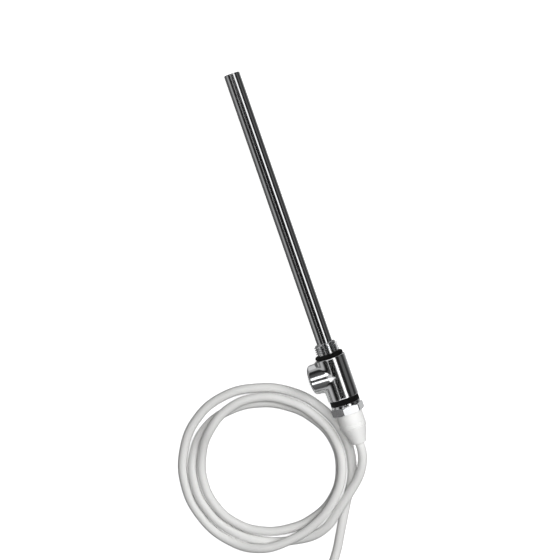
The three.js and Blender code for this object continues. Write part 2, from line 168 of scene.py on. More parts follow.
# The room as polished metal mirrors it: degrees from overhead, and brightness.
# Seen round the rod's axis, from the branch's side over the top to the other side:
ROUND_THE_ROD = (
    (-180, 0.12), (-97, 0.12), (-84, 0.2), (-78, 0.46), (-62, 0.46), (-52, 0.1), (-45, 0.006),
    (-34, 0.01), (-30, 0.045), (-18, 0.045), (-12, 0.006), (18, 0.005), (26, 0.1), (31, 1.2),
    (34, 1.7), (43, 1.7), (46, 0.1), (54, 0.01), (68, 0.015), (76, 0.12), (94, 0.12), (102, 0.02),
    (118, 0.06), (140, 0.3), (156, 0.56), (180, 1.2),
)
# Seen round the branch's axis, from the plug's side over the top to the rod's side:
ROUND_THE_BRANCH = (
    (-180, 0.25), (-120, 0.25), (-112, 0.02), (-84, 0.02), (-72, 0.07), (-32, 0.07),
    (-27, 0.05), (-25, 1.8), (-13.5, 1.8), (-11.5, 0), (7, 0), (8.5, 1.8), (22, 1.8),
    (26, 0.05), (44, 0.04), (52, 0.003), (180, 0.003),
)
TOP_STREAK = ((86, 0), (96, 0.55), (138, 0.55), (146, 0.2), (180, 0.2))
# A slit across the gap in the branch's light, thin enough to be faint on the rod and barrel
SLIT = ((-13, 0), (-11.5, 0.8), (7, 0.8), (8.5, 0))
# How far these reach sideways, from the branch's side (-1) to the other (1)
BRANCH_WINDOW = ((-0.50, 0), (-0.42, 1), (0.40, 1), (0.50, 0))
STREAK_WINDOW = ((-0.50, 0), (-0.42, 1), (-0.14, 1), (-0.06, 0))
SLIT_WINDOW = ((-0.30, 0), (-0.29, 1), (-0.25, 1), (-0.24, 0))

# Finishes that only mirror the room, and are left out of the lamps' light
MIRROR_SLOTS = ("chrome", "polished_steel", "tinned_metal", "brass", "black_rubber")

# Camera, aimed at the middle of the view
CAMERA_PLACE = (0.2393, 0.1153, 1.3281)
CAMERA_AIM = (-0.01446, -0.0120, 0.014)
CAMERA_TURN = math.radians(-18.27)
LENS_MM, SENSOR_MM = 100, 36

# Lamps, aimed at the origin: place and width, in metres
OVERHEAD_LAMP = (0.45, 0.2, 2.05), 1.5
SIDE_LAMP = (1.3, 0.1, 0.9), 1.0
FLOOR_WIDTH = 14
FLOOR_GLOW = 0.72
FILL_LIGHT = 0.05


# ---------------------------------------------------------------- modelling helpers


def start_clean():
    """Object mode with nothing selected."""
    if bpy.context.mode != "OBJECT":
        bpy.ops.object.mode_set(mode="OBJECT")
    bpy.ops.object.select_all(action="DESELECT")


def hold(piece):
    """Makes a piece the only selected and active object."""
    start_clean()
    piece.select_set(True)
    bpy.context.view_layer.objects.active = piece
    return piece


def named(name):
    piece = bpy.context.object
    piece.name = piece.data.name = name
    return piece


def pick(kind, test):
    """In edit mode, selects the verts, edges or faces whose middle passes the test."""
    modes = ("verts", "edges", "faces")
    bpy.context.tool_settings.mesh_select_mode = [kind == mode for mode in modes]
    mesh = bpy.context.object.data
    shape = bmesh.from_edit_mesh(mesh)
    for part in (*shape.verts, *shape.edges, *shape.faces):
        part.select = False
    for part in getattr(shape, kind):
        if kind == "verts":
            middle = part.co
        elif kind == "edges":
            middle = (part.verts[0].co + part.verts[1].co) / 2
        else:
            middle = part.calc_center_median()
        if test(middle, part):
            part.select_set(True)
    shape.select_flush_mode()
    bmesh.update_edit_mesh(mesh)


def bend(centre_r, centre_y, radius, start_deg, end_deg, steps=6):
    """Points of a rounded corner in an outline."""
    turn = [start_deg + (end_deg - start_deg) * i / steps for i in range(steps + 1)]
    return [
        (
            centre_r + radius * math.cos(math.radians(t)),
            centre_y + radius * math.sin(math.radians(t)),
        )
        for t in turn
    ]


def one_vertex(name, place):
    """A new mesh of one vertex, selected in edit mode and ready to be extruded."""
    start_clean()
    bpy.ops.mesh.primitive_plane_add(size=MM, location=place)
    piece = named(name)
    bpy.ops.object.mode_set(mode="EDIT")
    bpy.ops.mesh.select_mode(type="VERT")
    bpy.ops.mesh.select_all(action="SELECT")
    bpy.ops.mesh.merge(type="CENTER")
    return piece


def turned(name, outline, steps=96, around=(0, 1, 0)):
    """An outline of (radius, height) drawn out from one vertex and spun round an axis."""
    along = Vector(around)
    outward = Vector((0, 0, 1)) if abs(along.z) < 0.5 else Vector((1, 0, 0))
    start = outward * outline[0][0] + along * outline[0][1]
    piece = one_vertex(name, start)
    for (radius, height), (next_radius, next_height) in zip(outline, outline[1:]):
        step = outward * (next_radius - radius) + along * (next_height - height)
        bpy.ops.mesh.extrude_vertices_move(TRANSFORM_OT_translate={"value": step})
    bpy.ops.mesh.select_all(action="SELECT")
    bpy.ops.mesh.spin(steps=steps, angle=TAU, center=(0, 0, 0), axis=around)
    bpy.ops.mesh.select_all(action="SELECT")
    bpy.ops.mesh.remove_doubles(threshold=0.002 * MM)
    bpy.ops.mesh.normals_make_consistent(inside=False)
    bpy.ops.object.mode_set(mode="OBJECT")
    bpy.ops.object.transform_apply(location=True, rotation=True, scale=True)
    return piece


def apply_modifier(piece, kind, **settings):
    hold(piece)
    modifier = piece.modifiers.new(kind.title(), kind)
    for key, value in settings.items():
        setattr(modifier, key, value)
    bpy.ops.object.modifier_apply(modifier=modifier.name)
    return piece


def combine(piece, tool, operation):
    """Joins, cuts or trims a piece with a tool, which is used up."""
    apply_modifier(piece, "BOOLEAN", object=tool, operation=operation, solver="EXACT")
    bpy.data.objects.remove(tool)
    return piece


def welded(*pieces):
    """Several shapes as one object, named as the first."""
    start_clean()
    for piece in pieces:
        piece.select_set(True)
    bpy.context.view_layer.objects.active = pieces[0]
    bpy.ops.object.join()
    return pieces[0]


def thread(name, foot, top, root, depth, pitch, steps=40):
    """A helical ridge on a cylinder of the root radius, its ends run out. A negative depth
    makes an inner thread."""
    turns = (top - foot - 0.8 * pitch) / pitch
    sunk = -RIDGE_SUNK if depth > 0 else RIDGE_SUNK
    section = [
        (root + sunk, foot),
        (root + depth, foot + CREST_START * pitch),
        (root + depth, foot + CREST_END * pitch),
        (root + sunk, foot + RIDGE_END * pitch),
    ]
    ridge = one_vertex(name, (0, section[0][1], section[0][0]))
    for (radius, height), (next_radius, next_height) in zip(section, section[1:]):
        step = (0, next_height - height, next_radius - radius)
        bpy.ops.mesh.extrude_vertices_move(TRANSFORM_OT_translate={"value": step})
    bpy.ops.mesh.select_all(action="SELECT")
    bpy.ops.mesh.edge_face_add()
    bpy.ops.mesh.delete(type="ONLY_FACE")
    bpy.ops.object.mode_set(mode="OBJECT")
    bpy.ops.object.transform_apply(location=True, rotation=True, scale=True)
    count = round(steps * turns)
    apply_modifier(
        ridge, "SCREW", axis="Y", angle=turns * TAU, screw_offset=turns * pitch,
        steps=count, render_steps=count, use_merge_vertices=False,
    )
    bpy.ops.object.mode_set(mode="EDIT")
    rings = len(ridge.data.vertices) // len(section)
    run_out = steps // 5
    for k in range(run_out):
        for ring in (k, rings - 1 - k):
            pick("verts", lambda _, vertex, ring=ring: vertex.index // len(section) == ring)
            shape = bmesh.from_edit_mesh(ridge.data)
            shape.verts.ensure_lookup_table()
            base = shape.verts[ring * len(section)].co + shape.verts[ring * len(section) + 3].co
            share = max(k / run_out, 0.01)
            bpy.ops.transform.resize(value=(share,) * 3, center_override=base / 2)
            if k == 0:
                bpy.ops.mesh.edge_face_add()
    bpy.ops.mesh.select_all(action="SELECT")
    bpy.ops.mesh.normals_make_consistent(inside=False)
    bpy.ops.object.mode_set(mode="OBJECT")
    return ridge


def swing(piece, degrees, axis):
    """Turns a piece about the origin and applies the turn."""
    hold(piece)
    piece.matrix_world = Matrix.Rotation(math.radians(degrees), 4, axis) @ piece.matrix_world
    bpy.ops.object.transform_apply(location=True, rotation=True, scale=True)
    return piece


def lamplit_pieces():
    """The pieces that the lamps light."""
    found = bpy.data.collections.get("lamplit pieces")
    return found or bpy.data.collections.new("lamplit pieces")


def done(piece, body, look, slot, *nodes, place=HEATER_PLACE, smooth_deg=32):
    """Puts a finished piece in its place, gives it its finish and joins it to the frame."""
    hold(piece)
    if place is not None:
        piece.matrix_world = place @ piece.matrix_world
        bpy.ops.object.transform_apply(location=True, rotation=True, scale=True)
    if piece.type == "MESH":
        bpy.ops.object.shade_smooth_by_angle(angle=math.radians(smooth_deg))
        apply_modifier(piece, "WEIGHTED_NORMAL", keep_sharp=True)
    piece.data.materials.clear()
    piece.data.materials.append(look)
    if slot not in MIRROR_SLOTS:
        lamplit_pieces().objects.link(piece)
    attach(piece, body)
    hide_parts(*nodes)
    return piece


# ---------------------------------------------------------------- finishes


class Look:
    """A node material under construction."""

    def __init__(self, name, roughness=0.4, metallic=0.0):
        self.material = bpy.data.materials.new(name)
        self.material.use_nodes = True
        self.tree = self.material.node_tree
        self.surface = self.tree.nodes["Principled BSDF"]
        self.surface.inputs["Metallic"].default_value = metallic
        self.surface.inputs["Roughness"].default_value = roughness
        self.height = None

    def node(self, kind, **inputs):
        made = self.tree.nodes.new(kind)
        for key, value in inputs.items():
            made.inputs[key.replace("_", " ")].default_value = value
        return made

    def link(self, source, target):
        self.tree.links.new(source, target)

    def noise(self, size, detail=3.0, stretch=(1, 1, 1)):
        """Noise with features of that size in metres, lined up with the heater."""
        where = self.node("ShaderNodeTexCoord")
        lined = self.node("ShaderNodeMapping")
        lined.vector_type = "TEXTURE"
        lined.inputs["Location"].default_value = HEATER_PLACE.translation
        lined.inputs["Rotation"].default_value = HEATER_PLACE.to_euler()
        lined.inputs["Scale"].default_value = [size * s for s in stretch]
        made = self.node("ShaderNodeTexNoise", Scale=1.0, Detail=detail, Roughness=0.55)
        self.link(where.outputs["Object"], lined.inputs["Vector"])
        self.link(lined.outputs["Vector"], made.inputs["Vector"])
        return made.outputs["Fac"]

    def blend_colour(self, pattern, low, high, start=0.35, end=0.65):
        ramp = self.node("ShaderNodeValToRGB")
        ramp.color_ramp.elements[0].position = start
        ramp.color_ramp.elements[1].position = end
        ramp.color_ramp.elements[0].color = (*low, 1)
        ramp.color_ramp.elements[1].color = (*high, 1)
        self.link(pattern, ramp.inputs["Fac"])
        self.link(ramp.outputs["Color"], self.surface.inputs["Base Color"])
        return self

    def vary_roughness(self, pattern, low, high):
        spread = self.node(
            "ShaderNodeMapRange", From_Min=0.3, From_Max=0.7, To_Min=low, To_Max=high
        )
        self.link(pattern, spread.inputs["Value"])
        self.link(spread.outputs["Result"], self.surface.inputs["Roughness"])
        return self

    def bump(self, pattern, depth, strength=1.0):
        """Raises the surface by a pattern, depth in metres, on top of any earlier bump."""
        made = self.node("ShaderNodeBump", Strength=strength, Distance=depth)
        self.link(pattern, made.inputs["Height"])
        if self.height is not None:
            self.link(self.height, made.inputs["Normal"])
        self.height = made.outputs["Normal"]
        self.link(self.height, self.surface.inputs["Normal"])
        return self


def shade(colour, factor):
    return tuple(min(1.0, c * factor) for c in colour)


def metal_look(name, colour, roughness, wave, brushed=None):
    """Polished metal: small changes of tone, a slow waviness, and hairlines if brushed."""
    patches, smears, waves, hairlines = 7 * MM, 1.2 * MM, 9 * MM, 0.25 * MM
    look = Look(name, roughness, 1.0)
    look.blend_colour(look.noise(patches, 4), shade(colour, 0.9), colour)
    look.vary_roughness(look.noise(smears, 5), roughness * 0.7, roughness * 1.35)
    look.bump(look.noise(waves, 1), wave)
    if brushed:
        look.bump(look.noise(hairlines, 2, brushed), 0.002 * MM, 0.5)
    return look.material


def plastic_look(name, colour, roughness, grain, gloss=0.5):
    """Moulded plastic or rubber: a fine grain, and tone that drifts a little."""
    patches, smears, grains = 11 * MM, 2.5 * MM, 0.35 * MM
    look = Look(name, roughness)
    look.blend_colour(look.noise(patches, 3), shade(colour, 0.955), colour)
    look.vary_roughness(look.noise(smears, 4), roughness * 0.85, roughness * 1.15)
    look.bump(look.noise(grains, 3), grain, 0.7)
    look.surface.inputs["Specular IOR Level"].default_value = gloss
    return look.material


# ---------------------------------------------------------------- settings


def tint(name, text, colour):
    return bpy.props.FloatVectorProperty(
        name=name, description=text, subtype="COLOR", size=3, min=0, max=1, default=colour
    )


def size_of(name, text, metres):
    return bpy.props.FloatProperty(
        name=name, description=text, unit="LENGTH", subtype="DISTANCE",
        precision=5, default=metres,
    )


class HeaterSizes(bpy.types.PropertyGroup):
    """Sizes of the heater's pieces."""

    rod_radius: size_of("Rod radius", "Outside radius of the heating rod", 7 * MM)
    rod_length: size_of("Rod reach", "From the branch's axis to the rod's tip", 273 * MM)
    barrel_radius: size_of("Barrel radius", "Outside radius of the tee's barrel", 13.8 * MM)
    branch_radius: size_of("Branch radius", "Outside radius of the tee's branch", 13.25 * MM)
    branch_reach: size_of("Branch reach", "From the rod's axis to the branch's rim", 22 * MM)
    thread_pitch: size_of("Thread pitch", "Pitch of the pipe threads", 1.814 * MM)
    across_flats: size_of("Across flats", "Width of the hexagon", 26 * MM)
    cord_diameter: size_of("Lead diameter", "Outside diameter of the mains lead", 8.2 * MM)


class HeaterFinishes(bpy.types.PropertyGroup):
    """Colours of the heater's finishes."""

    chrome: tint("Chrome", "Plating of the tee and the union plug", (0.60, 0.61, 0.62))
    steel: tint("Steel", "Polished tube of the rod", (0.50, 0.50, 0.51))
    rubber: tint("Rubber", "O-ring and gasket", (0.006, 0.006, 0.0065))
    white: tint("White plastic", "Head, boot and plug", (0.71, 0.71, 0.695))
    sheath: tint("Lead sheath", "Jacket of the mains lead", (0.66, 0.66, 0.65))


class StageSettings(bpy.types.PropertyGroup):
    """Light and floor of the studio."""

    floor: tint("Floor", "Colour of the floor", (0.93, 0.93, 0.93))
    overhead: bpy.props.FloatProperty(
        name="Overhead light", description="Power of the soft light above", unit="POWER",
        default=28.0,
    )
    side: bpy.props.FloatProperty(
        name="Side light", description="Power of the light on the right", unit="POWER",
        default=16.0,
    )


def look_of(slot):
    """The finish of a material slot, made once."""
    found = bpy.data.materials.get(slot)
    if found:
        return found
    colours = bpy.context.scene.heater_finishes
    around = (1, 1, 120)
    makers = {
        "chrome": lambda: metal_look(slot, tuple(colours.chrome), 0.06, 0.02 * MM),
        "polished_steel": lambda: metal_look(
            slot, tuple(colours.steel), 0.08, 0.003 * MM, (1, 60, 1)
        ),
        "black_rubber": lambda: plastic_look(slot, tuple(colours.rubber), 0.55, 0.03 * MM, 0.12),
        "white_plastic": lambda: plastic_look(slot, tuple(colours.white), 0.34, 0.008 * MM),
        "cord_sheath": lambda: plastic_look(slot, tuple(colours.sheath), 0.5, 0.03 * MM),
        "ceramic": lambda: plastic_look(slot, (0.78, 0.74, 0.64), 0.8, 0.05 * MM),
        "resistance_wire": lambda: metal_look(slot, (0.22, 0.19, 0.16), 0.4, 0.01 * MM, around),
        "brass": lambda: metal_look(slot, (0.60, 0.45, 0.19), 0.24, 0.01 * MM, around),
        "tinned_metal": lambda: metal_look(slot, (0.62, 0.63, 0.64), 0.2, 0.006 * MM, around),
        "brown_core": lambda: plastic_look(slot, (0.15, 0.06, 0.02), 0.45, 0.01 * MM),
        "blue_core": lambda: plastic_look(slot, (0.03, 0.10, 0.38), 0.45, 0.01 * MM),
        "green_core": lambda: plastic_look(slot, (0.12, 0.36, 0.04), 0.45, 0.01 * MM),
        "silicone": lambda: plastic_look(slot, (0.36, 0.07, 0.03), 0.6, 0.02 * MM),
    }
    return makers[slot]()


# ---------------------------------------------------------------- operators


class STAGE_OT_studio(bpy.types.Operator):
    """Sets up the camera, the pale floor and the soft studio lights"""

    bl_idname = "heater.studio"
    bl_label = "Studio"

    def lamp(self, name, place, wide, power):
        start_clean()
        bpy.ops.object.light_add(type="AREA", location=place)
        lamp = bpy.context.object
        lamp.name = name
        lamp.data.size = wide
        lamp.data.energy = power
        lamp.rotation_euler = (-Vector(place)).to_track_quat("-Z", "Y").to_euler()
        lamp.visible_camera = lamp.visible_glossy = False
        lamp.light_linking.receiver_collection = lamplit_pieces()

    def floor(self, colour):
        start_clean()
        bpy.ops.mesh.primitive_plane_add(size=FLOOR_WIDTH)
        floor = named("floor")
        bpy.ops.object.mode_set(mode="EDIT")
        bpy.ops.mesh.subdivide(number_cuts=7)
        bpy.ops.object.mode_set(mode="OBJECT")
        look = Look("floor_paper", 0.9)
        look.blend_colour(look.noise(0.25, 2), shade(colour, 0.985), colour)
        look.surface.inputs["Specular IOR Level"].default_value = 0.1
        look.surface.inputs["Emission Color"].default_value = (1, 1, 1, 1)
        look.surface.inputs["Emission Strength"].default_value = FLOOR_GLOW
        floor.data.materials.append(look.material)
        floor.visible_glossy = floor.visible_diffuse = False
        lamplit_pieces().objects.link(floor)

    def camera(self):
        start_clean()
        bpy.ops.object.camera_add(location=CAMERA_PLACE)
        camera = bpy.context.object
        back = (Vector(CAMERA_PLACE) - Vector(CAMERA_AIM)).normalized()
        level = Vector((math.cos(CAMERA_TURN), math.sin(CAMERA_TURN), 0))
        right = (level - back * level.dot(back)).normalized()
        pose = Matrix((right, back.cross(right), back)).transposed()
        camera.rotation_euler = pose.to_euler()
        camera.data.lens = LENS_MM
        camera.data.sensor_width = SENSOR_MM
        camera.data.clip_end = 30
        bpy.context.scene.camera = camera

    def ramp(self, tree, value, low, high, stops):
        """Brightness along a value that runs from low to high."""
        spread = tree.nodes.new("ShaderNodeMapRange")
        spread.inputs["From Min"].default_value = low
        spread.inputs["From Max"].default_value = high
        ramp = tree.nodes.new("ShaderNodeValToRGB")
        points = ramp.color_ramp.elements
        while len(points) < len(stops):
            points.new(1.0)
        for point, (at, brightness) in zip(points, stops):
            point.position = (at - low) / (high - low)
            point.color = (brightness, brightness, brightness, 1)
        tree.links.new(value, spread.inputs["Value"])
        tree.links.new(spread.outputs["Result"], ramp.inputs["Fac"])
        return ramp.outputs["Color"]

    def join(self, tree, kind, first, second, operation):
        made = tree.nodes.new(kind)
        made.operation = operation
        tree.links.new(first, made.inputs[0])
        tree.links.new(second, made.inputs[1])
        return made.outputs[0]

    def surroundings(self):
        """A pale backdrop, soft fill, and the strips and flags that the metal mirrors."""
        world = bpy.data.worlds.new("studio")
        bpy.context.scene.world = world
        world.use_nodes = True
        tree = world.node_tree
        way = tree.nodes.new("ShaderNodeTexCoord")
        parts = tree.nodes.new("ShaderNodeSeparateXYZ")
        tree.links.new(way.outputs["Generated"], parts.inputs["Vector"])
        x, y, z = parts.outputs
        sides = self.join(tree, "ShaderNodeMath", x, z, "ARCTAN2")
        ends = self.join(tree, "ShaderNodeMath", y, z, "ARCTAN2")
        turn = math.radians(180)
        mirrored = None
        for angle, brightness, window in (
            (sides, ROUND_THE_ROD, None),
            (ends, ROUND_THE_BRANCH, BRANCH_WINDOW),
            (ends, TOP_STREAK, STREAK_WINDOW),
            (ends, SLIT, SLIT_WINDOW),
        ):
            stops = [(math.radians(at), light) for at, light in brightness]
            light = self.ramp(tree, angle, -turn, turn, stops)
            if window:
                width = self.ramp(tree, x, -1, 1, window)
                light = self.join(tree, "ShaderNodeVectorMath", light, width, "MULTIPLY")
            if mirrored:
                light = self.join(tree, "ShaderNodeVectorMath", mirrored, light, "ADD")
            mirrored = light

        fill = tree.nodes["Background"]
        fill.inputs["Color"].default_value = (1, 1, 1, 1)
        fill.inputs["Strength"].default_value = FILL_LIGHT
        room, backdrop = (tree.nodes.new("ShaderNodeBackground") for _ in range(2))
        tree.links.new(mirrored, room.inputs["Color"])
        backdrop.inputs["Color"].default_value = (1, 1, 1, 1)
        path = tree.nodes.new("ShaderNodeLightPath")
        light = fill.outputs[0]
        for ray, other in (("Is Glossy Ray", room), ("Is Camera Ray", backdrop)):
            mix = tree.nodes.new("ShaderNodeMixShader")
            tree.links.new(path.outputs[ray], mix.inputs["Fac"])
            tree.links.new(light, mix.inputs[1])
            tree.links.new(other.outputs[0], mix.inputs[2])
            light = mix.outputs[0]
        tree.links.new(light, tree.nodes["World Output"].inputs["Surface"])

    def execute(self, context):
        settings = context.scene.stage_settings
        self.camera()
        self.floor(tuple(settings.floor))
        self.surroundings()
        self.lamp("overhead", *OVERHEAD_LAMP, settings.overhead)
        self.lamp("side", *SIDE_LAMP, settings.side)
        context.scene.view_settings.view_transform = "Standard"
        return {"FINISHED"}


class HEATER_OT_lead(bpy.types.Operator):
    """Lays the mains lead along its route: out of the boot, three turns of coil, and the plug"""

    bl_idname = "heater.lead"
    bl_label = "Mains lead"

    def route(self):
        shift = Vector((CROSSING.x, CROSSING.y, 0))
        on_axis = (JACKET_TOP, BOOT_FOOT, BOOT_FOOT - 4 * MM)
        points = [CROSSING + ROD_WAY * y for y in on_axis]
        points += [Vector(p) * MM + shift for p in LEAD_BENDS]
        for step, (radius, height) in enumerate(COIL_STEPS):
            angle = math.radians(COIL_START_DEG - COIL_STEP_DEG * step)
            x = COIL_CENTRE[0] + radius * math.cos(angle)
            y = COIL_CENTRE[1] + radius * math.sin(angle)
            points.append(Vector((x, y, height)) * MM + shift)
        return points + [Vector(p) * MM + shift for p in TAIL_BENDS]

    def execute(self, context):
        diameter = context.scene.heater_sizes.cord_diameter
        points = self.route()
        line = bpy.data.curves.new("mains_lead", "CURVE")
        line.dimensions = "3D"
        line.resolution_u = 10
        line.bevel_depth = diameter / 2
        line.bevel_resolution = 6
        line.use_fill_caps = True
        spline = line.splines.new("BEZIER")
        spline.bezier_points.add(len(points) - 1)
        for knot, point in zip(spline.bezier_points, points):
            knot.co = point
            knot.handle_left_type = knot.handle_right_type = "AUTO"
        lead = bpy.data.objects.new("mains_lead", line)
        context.scene.collection.objects.link(lead)
        done(
            lead, "element", look_of("cord_sheath"), "cord_sheath",
            "cord_lead", "cord_coil", "cord_tail", place=None,
        )
        return {"FINISHED"}


class HEATER_OT_rod(bpy.types.Operator):
    """Makes the heating rod: a polished tube with a welded and rounded end"""

    bl_idname = "heater.rod"
    bl_label = "Heating rod"

    def execute(self, context):
        sizes = context.scene.heater_sizes
        r, tip = sizes.rod_radius, sizes.rod_length
        bore, foot = r - ROD_WALL, ROD_FOOT
        outline = [
            (bore, foot),
            (r - 0.2 * MM, foot),
            (r, foot + 0.2 * MM),
            (r, 60 * MM),
            (r, 160 * MM),
            *bend(r - MM, tip - MM, MM, 0, 80, 8),
            (r - 1.25 * MM, tip - 0.05 * MM),
            (r - 1.5 * MM, tip - 0.3 * MM),
            (r - 1.75 * MM, tip - 0.05 * MM),
            (r - 2.2 * MM, tip),
            (0, tip - 0.15 * MM),
            (0, tip - TIP_DISC),
            (bore, tip - TIP_DISC),
            (bore, foot),
        ]
        rod = turned("heating_rod", outline, 96)
        done(rod, "element", look_of("polished_steel"), "polished_steel", "sheath_tube", "tip_plug")
        return {"FINISHED"}


class HEATER_OT_tee(bpy.types.Operator):
    """Makes the chromed tee: barrel, side branch with its inner thread, and threaded nipple"""

    bl_idname = "heater.tee"
    bl_label = "Tee"

    def casting(self, sizes):
        """The barrel and the branch as one smooth body, with their bores."""
        br, rr, reach = sizes.barrel_radius, sizes.branch_radius, sizes.branch_reach
        barrel = turned("tee", [
            (0, BARREL_FOOT),
            *bend(br - 0.3 * MM, BARREL_FOOT + 0.3 * MM, 0.3 * MM, -90, 0, 3),
            *bend(br - 0.6 * MM, SHOULDER - 0.6 * MM, 0.6 * MM, 0, 90, 4),
            (0, SHOULDER),
        ], 128)
        branch = turned("branch", [
            (0, -3 * MM),
            (br - 0.6 * MM, -3 * MM),
            (br + 0.15 * MM, -2 * MM),
            (br + 0.15 * MM, 5 * MM),
            *bend(rr - 2.4 * MM, reach - 2.4 * MM, 2.4 * MM, 0, 90, 8),
            (SOCKET_R, reach),
            (0, reach),
        ], 128, (-1, 0, 0))
        combine(barrel, branch, "UNION")
        bore = turned("bore", [
            (0, BARREL_FOOT - MM),
            (LOWER_BORE_R, BARREL_FOOT - MM),
            (LOWER_BORE_R, -12.5 * MM),
            (UPPER_BORE_R, -11.5 * MM),
            (UPPER_BORE_R, SHOULDER + MM),
            (0, SHOULDER + MM),
        ], 64)
        combine(barrel, bore, "DIFFERENCE")
        floor = reach - SOCKET_DEPTH
        socket = turned("socket", [
            (0, 0),
            (7.6 * MM, 0),
            (7.6 * MM, floor),
            (SOCKET_R, floor + MM),
            (SOCKET_R, reach - 0.9 * MM),
            (10.4 * MM, reach + 0.1 * MM),
            (10.4 * MM, reach + MM),
            (0, reach + MM),
        ], 64, (-1, 0, 0))
        combine(barrel, socket, "DIFFERENCE")
        apply_modifier(barrel, "REMESH", mode="VOXEL", voxel_size=CASTING_VOXEL, adaptivity=0.0)
        self.soften_junction(barrel, br, rr)
        return apply_modifier(barrel, "SMOOTH", factor=0.5, iterations=6)

    def soften_junction(self, tee, br, rr):
        """Rounds the hollow corner between barrel and branch, as a casting has it."""
        corner = tee.vertex_groups.new(name="corner")
        for vertex in tee.data.vertices:
            x, y, z = vertex.co
            off = max(abs(math.hypot(x, z) - br), abs(math.hypot(y, z) - rr))
            if x < 3 * MM and off < CORNER_WIDTH:
                share = min(1, 2 * (1 - off / CORNER_WIDTH))
                corner.add([vertex.index], share, "REPLACE")
        apply_modifier(
            tee, "SMOOTH", factor=0.5, iterations=CORNER_PASSES, vertex_group="corner"
        )
        tee.vertex_groups.clear()

    def nipple(self, pitch):
        sleeve = turned("nipple", [
            (SLEEVE_BORE_R, SHOULDER - 2 * MM),
            (9.2 * MM, SHOULDER - 2 * MM),
            (9.2 * MM, NECK_TOP),
            (THREAD_ROOT_R, NECK_TOP + 0.2 * MM),
            (THREAD_ROOT_R, NIPPLE_TOP - 0.5 * MM),
            (THREAD_ROOT_R - 0.4 * MM, NIPPLE_TOP),
            (8.6 * MM, NIPPLE_TOP),
            (SLEEVE_BORE_R, NIPPLE_TOP - 0.35 * MM),
            (SLEEVE_BORE_R, SHOULDER - 2 * MM),
        ], 96)
        depth = THREAD_R - THREAD_ROOT_R
        ridge = thread("ridge", NECK_TOP, NIPPLE_TOP - 0.2 * MM, THREAD_ROOT_R, depth, pitch)
        return welded(sleeve, ridge)

    def socket_thread(self, reach, pitch):
        depth = -0.8 * MM
        ridge = thread(
            "inner_ridge", reach - 11 * MM, reach - 0.9 * MM, SOCKET_THREAD_R, depth, pitch
        )
        return swing(ridge, 90, "Z")

    def execute(self, context):
        sizes = context.scene.heater_sizes
        tee = welded(
            self.casting(sizes),
            self.nipple(sizes.thread_pitch),
            self.socket_thread(sizes.branch_reach, sizes.thread_pitch),
        )
        done(tee, "tee", look_of("chrome"), "chrome", "tee_body", smooth_deg=38)
        return {"FINISHED"}


class HEATER_OT_seals(bpy.types.Operator):
    """Makes the O-ring under the nipple's thread and the flat gasket below the tee"""

    bl_idname = "heater.seals"
    bl_label = "Seals"

    def execute(self, context):
        section = 1.6 * MM
        ring_r, ring_y = 9.3 * MM + section, SHOULDER + 0.1 * MM + section
        ring = [
            (ring_r + section * math.cos(t) * 0.98, ring_y + section * math.sin(t))
            for t in (TAU * i / 20 for i in range(21))
        ]
        o_ring = turned("o_ring", ring, 96)
        done(o_ring, "tee", look_of("black_rubber"), "black_rubber", "nipple_o_ring")

        r, edge = 13 * MM, 0.5 * MM
        gasket = turned("flat_gasket", [
            (LOWER_BORE_R, GASKET_FOOT),
            *bend(r - edge, GASKET_FOOT + edge, edge, -90, 0, 4),
            (r - 0.12 * MM, (GASKET_FOOT + GASKET_TOP) / 2),
            *bend(r - edge, GASKET_TOP - edge, edge, 0, 90, 4),
            (LOWER_BORE_R, GASKET_TOP),
            (LOWER_BORE_R, GASKET_FOOT),
        ], 96)
        done(gasket, "seal", look_of("black_rubber"), "black_rubber", "lower_gasket")
        return {"FINISHED"}


